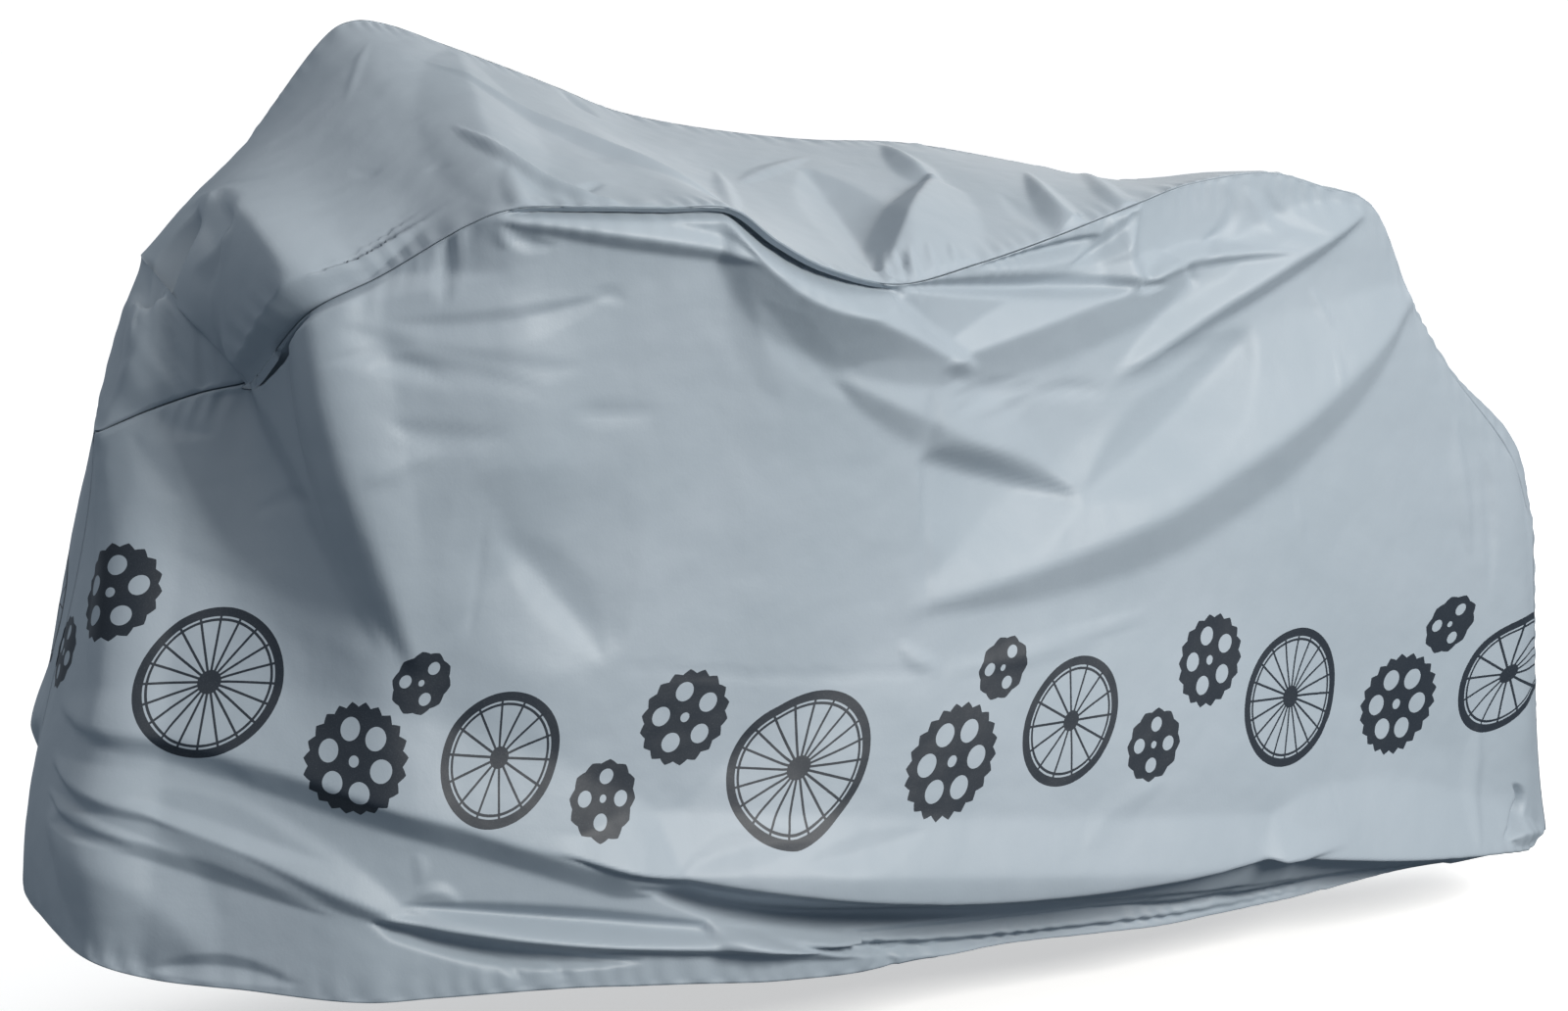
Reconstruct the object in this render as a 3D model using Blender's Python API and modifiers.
"""A sheet cover for a bicycle, standing in the folds that it takes when it is in use.

Three pieces of coated cloth are sewn edge to edge: a near and a far side panel, and a
leaf shaped top gusset that starts in a point at the front, is widest over the handlebar
ends, narrows over the saddle and runs down the rear as a strip.  The hem is the lower
edge of each cloth.  The cover is hollow and open at the bottom.

Frame: X along the cover with the front at -X, the near side at -Y, Z up, with the origin
under the middle of the cover at the height of its lowest hem.
"""
import bpy
import numpy as np

# Driving dimensions, in metres.
CLOTH_THICKNESS = 0.0020
SEAM_GAP = 0.0005            # left open between the edges of two cloths at a seam
SEAM_CALM = 0.020            # folds of a cloth die out over this distance from its seams
LEAST_SLOPE = 0.020          # no slope of a fold is drawn narrower than this
LEAST_CREST = 0.006          # and no crest sharper
SECTION_STEPS = 3            # cloth columns between two sections
NEAR_ROWS = 24               # rows of faces from seam to hem
FAR_ROWS = 16
GUSSET_ROWS = 6              # faces across the gusset
FRAME_SHIFT = (0.004, 0.0039, -0.0485)   # brings the box to the frame's origin

# One row for each upright section of the cover, from the front seam to the rear edge.
# near: the top seam on the near side; far: the top seam on the far side;
# crown: how far the gusset's middle stands above the line between the two seams.
SEAM_COLUMNS = ("near_x", "near_y", "near_z", "far_x", "far_y", "far_z", "crown")
SEAM_SECTIONS = [
    (-0.872, 0.004, 0.690, -0.872, 0.004, 0.690, 0.000),
    (-0.865, -0.012, 0.695, -0.858, 0.034, 0.709, 0.004),
    (-0.823, -0.030, 0.714, -0.834, 0.075, 0.736, 0.034),
    (-0.772, -0.046, 0.731, -0.800, 0.115, 0.768, 0.078),
    (-0.731, -0.062, 0.740, -0.752, 0.155, 0.812, 0.104),
    (-0.726, -0.090, 0.752, -0.712, 0.182, 0.852, 0.096),
    (-0.702, -0.184, 0.827, -0.660, 0.212, 0.918, 0.070),
    (-0.633, -0.215, 0.866, -0.592, 0.242, 0.992, 0.034),
    (-0.560, -0.262, 0.917, -0.525, 0.264, 1.062, 0.008),
    (-0.514, -0.288, 0.935, -0.486, 0.272, 1.083, 0.000),
    (-0.444, -0.299, 0.934, -0.440, 0.275, 1.078, 0.000),
    (-0.358, -0.302, 0.929, -0.372, 0.275, 1.053, -0.004),
    (-0.284, -0.301, 0.924, -0.302, 0.272, 1.026, -0.008),
    (-0.228, -0.298, 0.886, -0.238, 0.265, 1.000, -0.006),
    (-0.164, -0.288, 0.853, -0.172, 0.247, 0.972, 0.004),
    (-0.070, -0.264, 0.829, -0.082, 0.212, 0.952, 0.012),
    (0.048, -0.220, 0.839, 0.032, 0.180, 0.937, 0.012),
    (0.168, -0.180, 0.858, 0.150, 0.150, 0.930, 0.010),
    (0.295, -0.145, 0.885, 0.280, 0.116, 0.905, 0.004),
    (0.374, -0.120, 0.899, 0.372, 0.092, 0.882, 0.000),
    (0.485, -0.100, 0.904, 0.484, 0.072, 0.880, 0.004),
    (0.568, -0.090, 0.884, 0.568, 0.062, 0.862, 0.006),
    (0.655, -0.076, 0.850, 0.654, 0.056, 0.836, 0.010),
    (0.722, -0.065, 0.730, 0.728, 0.054, 0.726, 0.014),
    (0.790, -0.056, 0.640, 0.796, 0.050, 0.638, 0.014),
    (0.880, -0.050, 0.537, 0.888, 0.048, 0.538, 0.028),
    (0.920, -0.046, 0.440, 0.925, 0.046, 0.440, 0.022),
]

# The hem under each of the same sections, and the bow of the cloth between seam and hem:
# high and low are how far it stands out of the straight line, a third of the way down and
# two thirds of the way down.
HEM_COLUMNS = ("near_x", "near_y", "near_z", "near_high", "near_low",
               "far_x", "far_y", "far_z", "far_high", "far_low")
HEM_SECTIONS = [
    (-0.950, 0.055, 0.201, -0.012, 0.012, -0.950, 0.055, 0.201, -0.012, 0.012),
    (-0.966, -0.040, 0.204, -0.014, 0.018, -0.928, 0.116, 0.186, 0.000, 0.010),
    (-0.952, -0.168, 0.184, 0.004, 0.020, -0.898, 0.184, 0.158, 0.008, 0.016),
    (-0.890, -0.199, 0.160, 0.004, 0.022, -0.872, 0.235, 0.130, 0.010, 0.024),
    (-0.803, -0.242, 0.148, 0.002, 0.024, -0.820, 0.262, 0.115, 0.000, 0.022),
    (-0.700, -0.286, 0.133, 0.000, 0.024, -0.775, 0.275, 0.108, -0.006, 0.018),
    (-0.615, -0.296, 0.129, 0.004, 0.012, -0.715, 0.285, 0.104, -0.014, 0.010),
    (-0.560, -0.300, 0.127, 0.004, 0.008, -0.645, 0.298, 0.100, -0.022, 0.004),
    (-0.505, -0.303, 0.124, -0.004, 0.004, -0.570, 0.310, 0.098, -0.030, -0.004),
    (-0.455, -0.303, 0.120, -0.012, 0.002, -0.500, 0.318, 0.094, -0.034, -0.010),
    (-0.395, -0.303, 0.113, -0.018, -0.002, -0.430, 0.322, 0.090, -0.036, -0.014),
    (-0.325, -0.298, 0.104, -0.022, -0.004, -0.345, 0.320, 0.085, -0.036, -0.016),
    (-0.250, -0.290, 0.093, -0.024, -0.003, -0.262, 0.314, 0.080, -0.034, -0.016),
    (-0.185, -0.276, 0.084, -0.024, 0.004, -0.195, 0.306, 0.076, -0.030, -0.016),
    (-0.115, -0.258, 0.076, -0.022, 0.012, -0.122, 0.295, 0.072, -0.026, -0.014),
    (-0.030, -0.235, 0.072, -0.018, 0.020, -0.035, 0.282, 0.070, -0.022, -0.012),
    (0.085, -0.213, 0.065, -0.014, 0.028, 0.082, 0.266, 0.068, -0.018, -0.012),
    (0.197, -0.196, 0.056, -0.012, 0.034, 0.195, 0.250, 0.066, -0.016, -0.012),
    (0.306, -0.185, 0.050, -0.010, 0.036, 0.305, 0.232, 0.064, -0.014, -0.010),
    (0.390, -0.173, 0.049, -0.010, 0.035, 0.390, 0.214, 0.062, -0.012, -0.010),
    (0.490, -0.155, 0.049, -0.008, 0.032, 0.490, 0.192, 0.061, -0.010, -0.008),
    (0.575, -0.142, 0.051, -0.006, 0.024, 0.575, 0.170, 0.060, -0.008, -0.006),
    (0.660, -0.136, 0.055, -0.004, 0.016, 0.660, 0.148, 0.060, -0.006, -0.004),
    (0.742, -0.128, 0.056, -0.002, 0.008, 0.742, 0.126, 0.060, -0.004, -0.002),
    (0.822, -0.116, 0.055, 0.000, 0.000, 0.822, 0.102, 0.060, -0.002, 0.000),
    (0.893, -0.090, 0.049, 0.002, 0.002, 0.890, 0.074, 0.062, 0.000, 0.002),
    (0.950, -0.056, 0.056, 0.000, -0.006, 0.944, 0.050, 0.062, 0.000, -0.004),
]

# Folds of the side panels.  Each runs through three points of the panel, given along it
# and above the hem's lowest level.  rise is how far its crest stands out of the cloth, or
# how deep it goes when below zero.  above and below are the widths of its two slopes at its
# middle, start and end say how open it still is at its first and its last point, and crisp
# is the rounding of its crest.
FOLD_COLUMNS = ("x1", "z1", "x2", "z2", "x3", "z3", "rise", "above", "below", "start", "end",
                "crisp")
NEAR_FOLDS = [
    # the long crest below the seam's corner, with its dark front slope
    (-0.715, 0.830, -0.679, 0.665, -0.622, 0.463, 0.040, 0.240, 0.05, 0.8, 0, 0.004),
    (-0.870, 0.737, -0.766, 0.622, -0.657, 0.481, -0.012, 0.030, 0.09, 0.5, 0, 0.004),
    # the near corner of the front
    (-0.995, 0.698, -0.951, 0.539, -0.952, 0.410, 0.010, 0.120, 0.03, 0.3, 0.3, 0.008),
    # the second long slope, toward the middle of the band
    (-0.552, 0.649, -0.481, 0.552, -0.399, 0.473, -0.012, 0.120, 0.1, 0.3, 0, 0.006),
    # the roll along the front of the handlebar, just below the seam
    (-0.514, 0.921, -0.405, 0.905, -0.287, 0.881, 0.014, 0.014, 0.014, 0.4, 0.7, 0.003),
    # the tuck under the seam behind the handlebar, and the ledge that runs into the pocket
    (-0.266, 0.907, -0.171, 0.843, -0.066, 0.819, -0.020, 0.010, 0.018, 0.4, 0.2, 0.003),
    (-0.277, 0.899, -0.178, 0.838, 0.003, 0.745, 0.034, 0.034, 0.07, 0.4, 0.5, 0.003),
    (0.016, 0.739, 0.173, 0.768, 0.424, 0.813, 0.020, 0.034, 0.05, 0.4, 0.5, 0.003),
    # the two arms of the fold that hangs between handlebar and saddle
    (-0.120, 0.722, 0.025, 0.653, 0.194, 0.570, 0.014, 0.060, 0.028, 0.5, 0, 0.004),
    (-0.005, 0.623, 0.108, 0.592, 0.194, 0.565, -0.018, 0.024, 0.09, 0.8, 0, 0.003),
    (0.462, 0.710, 0.346, 0.634, 0.194, 0.565, -0.018, 0.060, 0.05, 0.4, 0, 0.005),
    (0.650, 0.841, 0.513, 0.792, 0.301, 0.705, 0.026, 0.022, 0.05, 0.3, 0.3, 0.003),
    # the long fold that runs down and forward from the rear corner
    (0.717, 0.722, 0.395, 0.562, -0.010, 0.478, 0.030, 0.054, 0.13, 0.3, 0.2, 0.004),
    # the long pleats that sweep down from the front corner
    (-0.987, 0.412, -0.707, 0.353, -0.416, 0.240, 0.022, 0.080, 0.028, 0.3, 0.9, 0.003),
    (-1.010, 0.357, -0.830, 0.300, -0.661, 0.218, 0.020, 0.045, 0.026, 0.3, 0.3, 0.002),
    (-0.660, 0.216, -0.462, 0.175, -0.161, 0.123, 0.018, 0.014, 0.011, 0.2, 0.8, 0.003),
    (-1.022, 0.327, -0.858, 0.282, -0.730, 0.229, 0.010, 0.020, 0.014, 0.3, 0.2, 0.003),
    (-1.034, 0.302, -0.936, 0.257, -0.857, 0.190, 0.014, 0.060, 0.06, 0.3, 0.3, 0.01),
    # the overhanging lip above the hem, and the rolls of cloth under it
    (-0.342, 0.240, 0.128, 0.177, 0.793, 0.077, 0.040, 0.260, 0.085, 0.2, 0.3, 0.006),
    (-0.414, 0.256, -0.034, 0.173, 0.431, 0.140, 0.030, 0.070, 0.014, 0.6, 0.5, 0.003),
    (0.452, 0.140, 0.635, 0.108, 0.888, 0.059, 0.028, 0.070, 0.014, 0.5, 0.5, 0.003),
    (-0.340, 0.202, 0.056, 0.111, 0.704, 0.058, -0.034, 0.016, 0.022, 0.5, 0.4, 0.003),
    (-0.271, 0.162, 0.050, 0.109, 0.522, 0.075, 0.015, 0.009, 0.01, 0.3, 0.3, 0.002),
    (-0.228, 0.139, 0.076, 0.074, 0.535, 0.052, -0.014, 0.008, 0.009, 0.2, 0.3, 0.002),
]
FAR_FOLDS = [
    (-0.700, 0.850, -0.660, 0.640, -0.560, 0.420, 0.030, 0.156, 0.065, 0.4, 0.3, 0.010),
    (-0.260, 0.950, -0.120, 0.800, 0.100, 0.690, 0.030, 0.065, 0.117, 0.4, 0.3, 0.010),
    (0.100, 0.690, 0.260, 0.740, 0.420, 0.810, 0.022, 0.065, 0.091, 0.4, 0.3, 0.010),
    (-0.200, 0.760, 0.020, 0.590, 0.200, 0.520, -0.026, 0.117, 0.065, 0.4, 0.3, 0.012),
    (0.200, 0.520, 0.400, 0.610, 0.560, 0.720, -0.024, 0.117, 0.065, 0.4, 0.3, 0.012),
    (0.700, 0.700, 0.420, 0.500, 0.100, 0.400, 0.020, 0.117, 0.065, 0.4, 0.3, 0.012),
    (-0.440, 0.900, -0.420, 0.660, -0.480, 0.420, 0.018, 0.091, 0.078, 0.4, 0.3, 0.020),
    (-0.980, 0.360, -0.640, 0.260, -0.300, 0.180, 0.022, 0.104, 0.039, 0.4, 0.3, 0.010),
    (-0.960, 0.260, -0.640, 0.190, -0.340, 0.140, 0.018, 0.052, 0.039, 0.4, 0.3, 0.008),
    (-0.260, 0.200, 0.100, 0.150, 0.500, 0.130, 0.024, 0.091, 0.031, 0.4, 0.3, 0.008),
    (0.620, 0.520, 0.600, 0.320, 0.560, 0.120, 0.014, 0.078, 0.065, 0.4, 0.3, 0.015),
]
# Folds of the top gusset, in plan: here z1, z2 and z3 are the places across the cover.
GUSSET_FOLDS = [
    # the crest between the crumpled nose and the large front plane
    (-0.731, 0.027, -0.704, -0.130, -0.698, -0.189, 0.034, 0.110, 0.048, 0.3, 0.8, 0.003),
    # folds of the nose
    (-0.749, 0.026, -0.773, 0.010, -0.805, -0.005, -0.022, 0.022, 0.024, 0.2, 0.3, 0.002),
    (-0.802, -0.012, -0.822, -0.018, -0.855, -0.006, 0.020, 0.034, 0.034, 0.4, 0.2, 0.003),
    (-0.721, 0.012, -0.729, -0.027, -0.728, -0.065, -0.012, 0.018, 0.03, 0.1, 0.4, 0.002),
    # the front plane's rear edge, and the crest over the near end of the handlebar
    (-0.379, 0.209, -0.467, -0.071, -0.511, -0.269, 0.012, 0.060, 0.06, 0.3, 0.3, 0.004),
    (-0.499, -0.082, -0.470, -0.222, -0.412, -0.295, 0.012, 0.016, 0.013, 0.1, 0.3, 0.002),
    (-0.442, 0.134, -0.343, -0.060, -0.237, -0.194, 0.010, 0.024, 0.024, 0.1, 0.4, 0.002),
    # facets of the pocket between handlebar and saddle
    (-0.031, 0.034, -0.045, -0.089, -0.074, -0.227, -0.016, 0.050, 0.05, 0.2, 0.5, 0.003),
    (0.084, -0.037, -0.013, -0.159, -0.079, -0.243, 0.026, 0.080, 0.036, 0.5, 0.2, 0.002),
    (0.227, -0.009, 0.194, -0.133, 0.209, -0.168, 0.014, 0.022, 0.022, 0.2, 0.5, 0.002),
]


def columns_of(names, rows):
    """Turn a table into one array for each named column."""
    return {name: np.array([row[i] for row in rows], float) for i, name in enumerate(names)}


SEAM = columns_of(SEAM_COLUMNS, SEAM_SECTIONS)
HEM = columns_of(HEM_COLUMNS, HEM_SECTIONS)
LAST_SECTION = len(SEAM_SECTIONS) - 1


def between(column, place):
    """Read a column at any place between its rows, on one smooth curve."""
    padded = np.concatenate(([2 * column[0] - column[1]], column,
                             [2 * column[-1] - column[-2]]))
    row = np.clip(np.floor(place).astype(int), 0, len(column) - 2)
    f = place - row
    a, b, c, d = padded[row], padded[row + 1], padded[row + 2], padded[row + 3]
    return b + 0.5 * f * (c - a + f * (2 * a - 5 * b + 4 * c - d + f * (3 * (b - c) + d - a)))


def point_on(table, prefix, place):
    """The point that a table's x, y and z columns give at a place between its rows."""
    return np.stack([between(table[prefix + axis], place) for axis in ("_x", "_y", "_z")], -1)


def side_surface(side, place, fall):
    """A side panel's smooth drape: place counts sections, fall goes from seam to hem."""
    seam = point_on(SEAM, side, place)
    hem = point_on(HEM, side, place)
    high = between(HEM[side + "_high"], place) * 6.75 * fall * (1 - fall) ** 2
    low = between(HEM[side + "_low"], place) * 6.75 * fall ** 2 * (1 - fall)
    line = hem - seam
    other = "near" if side == "far" else "far"
    ahead = point_on(HEM, side, np.minimum(place + 0.3, LAST_SECTION))
    behind = point_on(HEM, side, np.maximum(place - 0.3, 0.0))
    round_front = point_on(HEM, other, np.maximum(0.3 - place, 0.0))
    level = ahead - np.where((place < 0.3)[..., None], round_front, behind)
    out = np.cross(line, level) * (-1.0 if side == "far" else 1.0)
    out[..., 2] = 0.0
    out /= np.linalg.norm(out, axis=-1, keepdims=True)
    return seam + line * fall[..., None] + out * (high + low)[..., None]


def fade(value):
    """A smooth step from 0 to 1."""
    value = np.clip(value, 0.0, 1.0)
    return value * value * (3 - 2 * value)


def fold_height(folds, along, up):
    """How far the folds lift the cloth at each point of its flat chart.

    Each is a ridge or a trough with two flat slopes, and narrows toward its ends.
    """
    lift = np.zeros_like(along)
    for row in folds:
        f = dict(zip(FOLD_COLUMNS, row))
        nearest = np.full(along.shape, 9.0)
        side = np.zeros_like(along)
        run = np.zeros_like(along)
        for i in range(24):
            t = (i + 0.5) / 24
            a, b, c = (1 - t) * (1 - 2 * t), 4 * t * (1 - t), t * (2 * t - 1)
            x = a * f["x1"] + b * f["x2"] + c * f["x3"]
            z = a * f["z1"] + b * f["z2"] + c * f["z3"]
            dx = (4 * t - 3) * f["x1"] + (4 - 8 * t) * f["x2"] + (4 * t - 1) * f["x3"]
            dz = (4 * t - 3) * f["z1"] + (4 - 8 * t) * f["z2"] + (4 * t - 1) * f["z3"]
            reach = np.hypot(along - x, up - z)
            closer = reach < nearest
            size = np.hypot(dx, dz)
            across = ((up - z) * dx - (along - x) * dz) / size
            down_run = ((along - x) * dx + (up - z) * dz) / size
            nearest = np.where(closer, reach, nearest)
            side = np.where(closer, across, side)
            run = np.where(closer, t + down_run / size, run)
        grow = (f["start"] * (1 - run) * (1 - 2 * run) + 4 * run * (1 - run)
                + f["end"] * run * (2 * run - 1))
        grow = np.maximum(grow, 0.0) * fade(run / 0.15 + 1) * fade((1 - run) / 0.15 + 1)
        width = np.where(side > 0, f["above"], f["below"]) * np.maximum(grow, 0.2)
        width = np.maximum(width, LEAST_SLOPE)
        crisp = max(f["crisp"], LEAST_CREST)
        slope = 1 - (np.sqrt(side ** 2 + crisp ** 2) - crisp) / width
        lift += f["rise"] * grow * 0.5 * (slope + np.sqrt(slope ** 2 + 0.01))
    return lift


def chart_of(points):
    """A panel's flat chart: length along it, counted from the tenth section, and height."""
    steps = np.hypot(np.diff(points[..., 0], axis=0), np.diff(points[..., 1], axis=0))
    along = np.concatenate((np.zeros((1, points.shape[1])), np.cumsum(steps, axis=0)))
    return along, points[..., 2]


def normals_of(points):
    """The direction square to a grid of points."""
    first = np.gradient(points, axis=0)
    second = np.gradient(points, axis=1)
    out = np.cross(first, second)
    return out / np.linalg.norm(out, axis=-1, keepdims=True)


def setback(first, second, way):
    """How far two cloths stop short of their seam, so that their edges stay just apart."""
    way = way / np.linalg.norm(way, axis=-1, keepdims=True)
    pair = []
    for run in (first, second):
        run = run - way * (run * way).sum(-1, keepdims=True)
        pair.append(run / np.linalg.norm(run, axis=-1, keepdims=True))
    half = 0.5 * np.arccos(np.clip((pair[0] * pair[1]).sum(-1), -1.0, 1.0))
    back = (0.5 * SEAM_GAP + 0.5 * CLOTH_THICKNESS * np.cos(half)) / np.sin(half)
    return np.clip(back, 0.5 * SEAM_GAP, 0.005)


def falls_of(rows):
    """Rows of a side panel, closer together near the hem."""
    fall = np.linspace(0.0, 1.0, rows + 1)
    return fall * (1.35 - 0.35 * fall)


def seam_edges(place, fall):
    """The two seam lines at given places, and how far the cloths stop short of each."""
    edges = {}
    ends = {side: side_surface(side, place, fall) for side in ("near", "far")}
    crown = between(SEAM["crown"], place)
    crown = np.where(fall > 0, SEAM["crown"][-1] * (1 - 0.4 * fall), crown)
    way = np.gradient(ends["near"] + ends["far"], axis=0)
    up = np.cross(way, ends["far"] - ends["near"])
    up /= np.linalg.norm(up, axis=-1, keepdims=True)
    for side, other in (("near", "far"), ("far", "near")):
        over = ends[other] - ends[side] + up * (4 * crown)[:, None]
        step = np.where(fall > 0, 0.0, 0.02)
        inside = np.where(fall > 0, place - 0.1, place)
        down = side_surface(side, inside, fall + step) - ends[side]
        along = np.gradient(ends[side], axis=0)
        edges[side] = (ends[side], setback(down, over, along))
    return edges, up, crown


def side_grid(side, steps, rows, folds):
    """Points of one side panel, set back from its seams, with its folds."""
    place = np.linspace(0.0, LAST_SECTION, LAST_SECTION * steps + 1)
    places, falls = np.meshgrid(place, falls_of(rows), indexing="ij")
    step = place[1]
    whole = side_surface(side, places, falls)
    height = np.linalg.norm(whole[:, -1] - whole[:, 0], axis=-1)
    top = np.maximum(place, 0.05)
    cut = seam_edges(top, top * 0)[0][side][1] / height
    falls = cut[:, None] + falls * (1 - cut[:, None])
    rear = falls[-1]
    back = seam_edges(rear * 0 + LAST_SECTION, rear)[0][side][1]
    places[-1] -= step * back / np.linalg.norm(whole[-1] - whole[-2], axis=-1)
    start = rear * 0
    turn = [side_surface(one, start + 0.1, rear) - whole[0] for one in ("near", "far")]
    back = setback(turn[0], turn[1], np.gradient(whole[0], axis=0))
    front = np.linalg.norm(whole[1] - whole[0], axis=-1)
    places[0] += step * np.minimum(back / front, 0.5)
    points = side_surface(side, places, falls)
    along, up = chart_of(points)
    anchor = np.argmin(np.abs(place - 10.0))
    along = along - along[anchor] + points[anchor, :, 0]
    out = normals_of(points)
    out *= np.sign(out[len(place) // 2, rows // 2, 1]) * (1.0 if side == "far" else -1.0)
    from_seam = np.minimum(falls * height[:, None], along - along[:1])
    from_seam = np.minimum(from_seam, along[-1:] - along)
    lift = fold_height(folds, along, up) * fade(from_seam / SEAM_CALM)
    return points + out * lift[..., None]


def gusset_grid(steps, across, rear_rows, folds):
    """Points of the top gusset: over the sections, then down the rear strip."""
    top = np.linspace(0.0, LAST_SECTION, LAST_SECTION * steps + 1)[1:]
    down = falls_of(rear_rows)[1:]
    place = np.concatenate((top, np.full_like(down, LAST_SECTION)))
    fall = np.concatenate((top * 0, down))
    edges, up, crown = seam_edges(place, fall)
    (near, near_back), (far, far_back) = edges["near"], edges["far"]
    span = np.linalg.norm(far - near, axis=-1)
    share = np.linspace(0.0, 1.0, across + 1)[None, :]
    share = (near_back / span)[:, None] + share * (1 - (near_back + far_back) / span)[:, None]
    points = near[:, None] * (1 - share[..., None]) + far[:, None] * share[..., None]
    bulge = crown[:, None] * 4 * share * (1 - share)
    points = points + up[:, None] * bulge[..., None]
    from_seam = np.minimum(share, 1 - share) * span[:, None]
    on_top = fade((points[..., 2] - 0.70) / 0.05)
    lift = fold_height(folds, points[..., 0], points[..., 1]) * on_top
    return points + up[:, None] * (lift * fade(from_seam / SEAM_CALM))[..., None]


def cloth_material(name, red, green, blue, roughness):
    """A plain coated cloth finish."""
    material = bpy.data.materials.new(name)
    material.use_nodes = True
    shader = material.node_tree.nodes["Principled BSDF"]
    shader.inputs["Base Color"].default_value = (red, green, blue, 1.0)
    shader.inputs["Roughness"].default_value = roughness
    shader.inputs["Metallic"].default_value = 0.0
    return material


def add_cloth(name, points, outward, material, collection):
    """Loft a grid of points into a sheet and give it the cloth's thickness."""
    columns, rows = points.shape[0], points.shape[1]
    corners = []
    for i in range(columns - 1):
        for j in range(rows - 1):
            a, b = i * rows + j, (i + 1) * rows + j
            quad = (a, b, b + 1, a + 1)
            corners.append(quad if outward else quad[::-1])
    mesh = bpy.data.meshes.new(name)
    placed = points.reshape(-1, 3) + np.array(FRAME_SHIFT)
    mesh.from_pydata(placed.tolist(), [], corners)
    mesh.shade_smooth()
    mesh.materials.append(material)
    cloth = bpy.data.objects.new(name, mesh)
    collection.objects.link(cloth)
    shell = cloth.modifiers.new("cloth thickness", "SOLIDIFY")
    shell.thickness = CLOTH_THICKNESS
    shell.offset = 0.0
    return cloth


def main():
    for thing in list(bpy.data.objects):
        bpy.data.objects.remove(thing, do_unlink=True)
    collection = bpy.data.collections.new("bicycle_cover")
    bpy.context.scene.collection.children.link(collection)
    side_finish = cloth_material("silver_coated_cloth", 0.36, 0.43, 0.48, 0.45)
    top_finish = cloth_material("silver_coated_cloth_top", 0.38, 0.45, 0.50, 0.45)
    add_cloth("near_side_panel", side_grid("near", SECTION_STEPS, NEAR_ROWS, NEAR_FOLDS),
              False, side_finish, collection)
    add_cloth("far_side_panel", side_grid("far", SECTION_STEPS, FAR_ROWS, FAR_FOLDS),
              True, side_finish, collection)
    add_cloth("top_gusset", gusset_grid(SECTION_STEPS, GUSSET_ROWS, NEAR_ROWS, GUSSET_FOLDS),
              True, top_finish, collection)


main()
